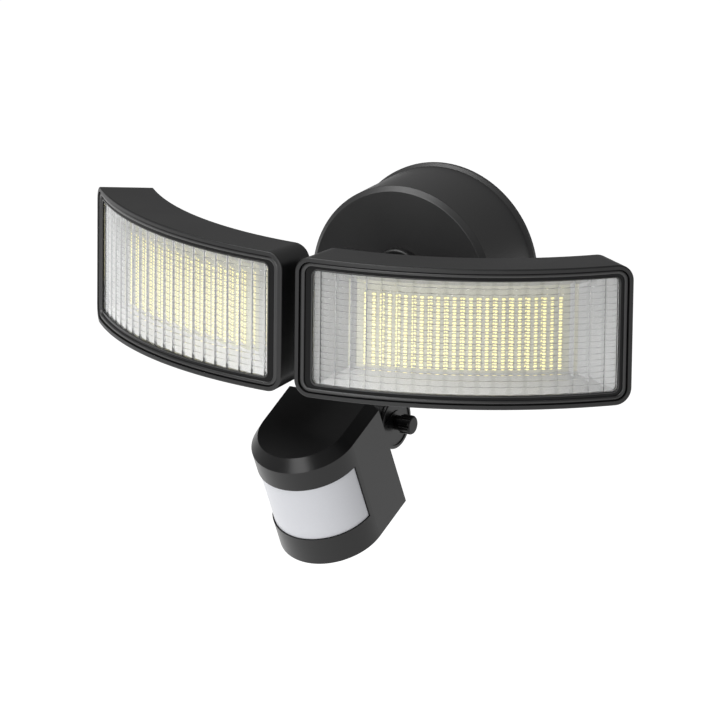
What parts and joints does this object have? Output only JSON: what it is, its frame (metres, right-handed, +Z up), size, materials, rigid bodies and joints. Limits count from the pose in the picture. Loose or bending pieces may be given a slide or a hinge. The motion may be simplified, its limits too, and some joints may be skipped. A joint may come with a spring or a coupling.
{
  "type": "motion sensor security light",
  "caption": "Wall security light: round canopy, two curved LED heads on pivoting arms and a tilting motion sensor.",
  "frame": {"origin": "centre of the canopy's back rim, on the wall", "axes": "+X right and +Z up for a viewer who faces the light; +Y into the wall, so the heads face -Y"},
  "size_m": [0.3422, 0.1838, 0.1986],
  "materials": {
    "black_cast_metal": "matte black powder coat over cast metal",
    "black_plastic": "fine satin black",
    "knob_plastic": "satin black",
    "clear_lens": "clear moulded cover with pillow facets",
    "reflector_white": "bright white",
    "board_white": "white solder mask",
    "led_yellow": "yellow phosphor over a pale package",
    "black_rubber": "soft seal",
    "grey_foam": "closed-cell foam",
    "zinc_steel": "zinc plated",
    "black_screw": "black oxide",
    "green_earth": "green dyed earth screw",
    "driver_case": "white moulded case",
    "terminal_white": "milky terminal strip",
    "milky_window": "translucent milky white",
    "board_green": "green solder mask",
    "detector_can": "nickel can with a dark filter",
    "cell_amber": "cadmium photocell under clear resin",
    "dial_grey": "satin grey"
  },
  "bodies": {
    "canopy": {"canopy_housing": "black_cast_metal", "canopy_gasket": "grey_foam", "crossbar": "zinc_steel", "canopy_screws": "black_screw", "ground_screw": "green_earth", "driver_box": "driver_case", "driver_screws": "zinc_steel", "terminal_block": "terminal_white", "arm_hub": "black_cast_metal", "hub_nut": "zinc_steel", "pan_bolts": "black_screw", "pan_nuts": "black_screw", "sensor_elbow": "black_plastic", "elbow_nut": "zinc_steel"},
    "left_arm_body": {"left_arm": "black_cast_metal", "left_tilt_nut": "zinc_steel"},
    "left_head": {"left_head_housing": "black_cast_metal", "left_head_seal": "black_rubber", "left_head_lens": "clear_lens", "left_reflector": "reflector_white", "left_led_board": "board_white", "left_leds": "led_yellow", "left_head_bracket": "black_cast_metal", "left_bracket_screws": "black_screw"},
    "left_knob": {"left_tilt_knob": "knob_plastic"},
    "right_arm_body": {"right_arm": "black_cast_metal", "right_tilt_nut": "zinc_steel"},
    "right_head": {"right_head_housing": "black_cast_metal", "right_head_seal": "black_rubber", "right_head_lens": "clear_lens", "right_reflector": "reflector_white", "right_led_board": "board_white", "right_leds": "led_yellow", "right_head_bracket": "black_cast_metal", "right_bracket_screws": "black_screw"},
    "right_knob": {"right_tilt_knob": "knob_plastic"},
    "swivel": {"sensor_swivel": "black_plastic", "sensor_tilt_nut": "zinc_steel"},
    "sensor_knob": {"sensor_tilt_knob": "knob_plastic"},
    "sensor": {"sensor_housing": "black_plastic", "sensor_back": "black_plastic", "sensor_back_screws": "black_screw", "sensor_window": "milky_window", "sensor_pcb": "board_green", "pir_element": "detector_can", "photocell": "cell_amber", "dial_board": "board_green"},
    "time_dial_body": {"time_dial": "dial_grey"},
    "range_dial_body": {"range_dial": "dial_grey"},
    "dusk_dial_body": {"dusk_dial": "dial_grey"}
  },
  "joints": [
    {"name": "right_arm_pan", "type": "hinge", "parent": "canopy", "child": "right_arm_body", "pos_m": [0.02, -0.082, 0.0073], "axis": [0, 0, 1], "range_deg": [-0.25, 31.25]},
    {"name": "right_head_tilt", "type": "hinge", "parent": "right_arm_body", "child": "right_head", "pos_m": [0.04903, -0.12664, 0.0073], "axis": [-0.9998, 0.0218, 0], "range_deg": [-25, 45]},
    {"name": "right_knob_turn", "type": "hinge", "parent": "right_arm_body", "child": "right_knob", "pos_m": [0.04903, -0.12664, 0.0073], "axis": [0.9998, -0.0218, 0], "range_deg": [0, 360]},
    {"name": "left_arm_pan", "type": "hinge", "parent": "canopy", "child": "left_arm_body", "pos_m": [-0.02, -0.082, 0.0073], "axis": [0, 0, -1], "range_deg": [-2.75, 28.75]},
    {"name": "left_head_tilt", "type": "hinge", "parent": "left_arm_body", "child": "left_head", "pos_m": [-0.05095, -0.12534, 0.0073], "axis": [-0.9998, 0.0218, 0], "range_deg": [-25, 45]},
    {"name": "left_knob_turn", "type": "hinge", "parent": "left_arm_body", "child": "left_knob", "pos_m": [-0.05095, -0.12534, 0.0073], "axis": [-0.9998, 0.0218, 0], "range_deg": [0, 360]},
    {"name": "sensor_pan", "type": "hinge", "parent": "canopy", "child": "swivel", "pos_m": [0, -0.073, -0.05], "axis": [0, 0, 1], "range_deg": [-80, 80]},
    {"name": "sensor_tilt", "type": "hinge", "parent": "swivel", "child": "sensor", "pos_m": [0, -0.073, -0.074], "axis": [-0.9976, 0.0698, 0], "range_deg": [-45, 8]},
    {"name": "sensor_knob_turn", "type": "hinge", "parent": "swivel", "child": "sensor_knob", "pos_m": [0, -0.073, -0.074], "axis": [0.9976, -0.0698, 0], "range_deg": [0, 360]},
    {"name": "time_dial_turn", "type": "hinge", "parent": "sensor", "child": "time_dial_body", "pos_m": [-0.02029, -0.11945, -0.12302], "axis": [0.0317, 0.4529, -0.891], "range_deg": [0, 270]},
    {"name": "range_dial_turn", "type": "hinge", "parent": "sensor", "child": "range_dial_body", "pos_m": [-0.00333, -0.12063, -0.12302], "axis": [0.0317, 0.4529, -0.891], "range_deg": [0, 270]},
    {"name": "dusk_dial_turn", "type": "hinge", "parent": "sensor", "child": "dusk_dial_body", "pos_m": [0.01363, -0.12182, -0.12302], "axis": [0.0317, 0.4529, -0.891], "range_deg": [0, 270]}
  ]
}
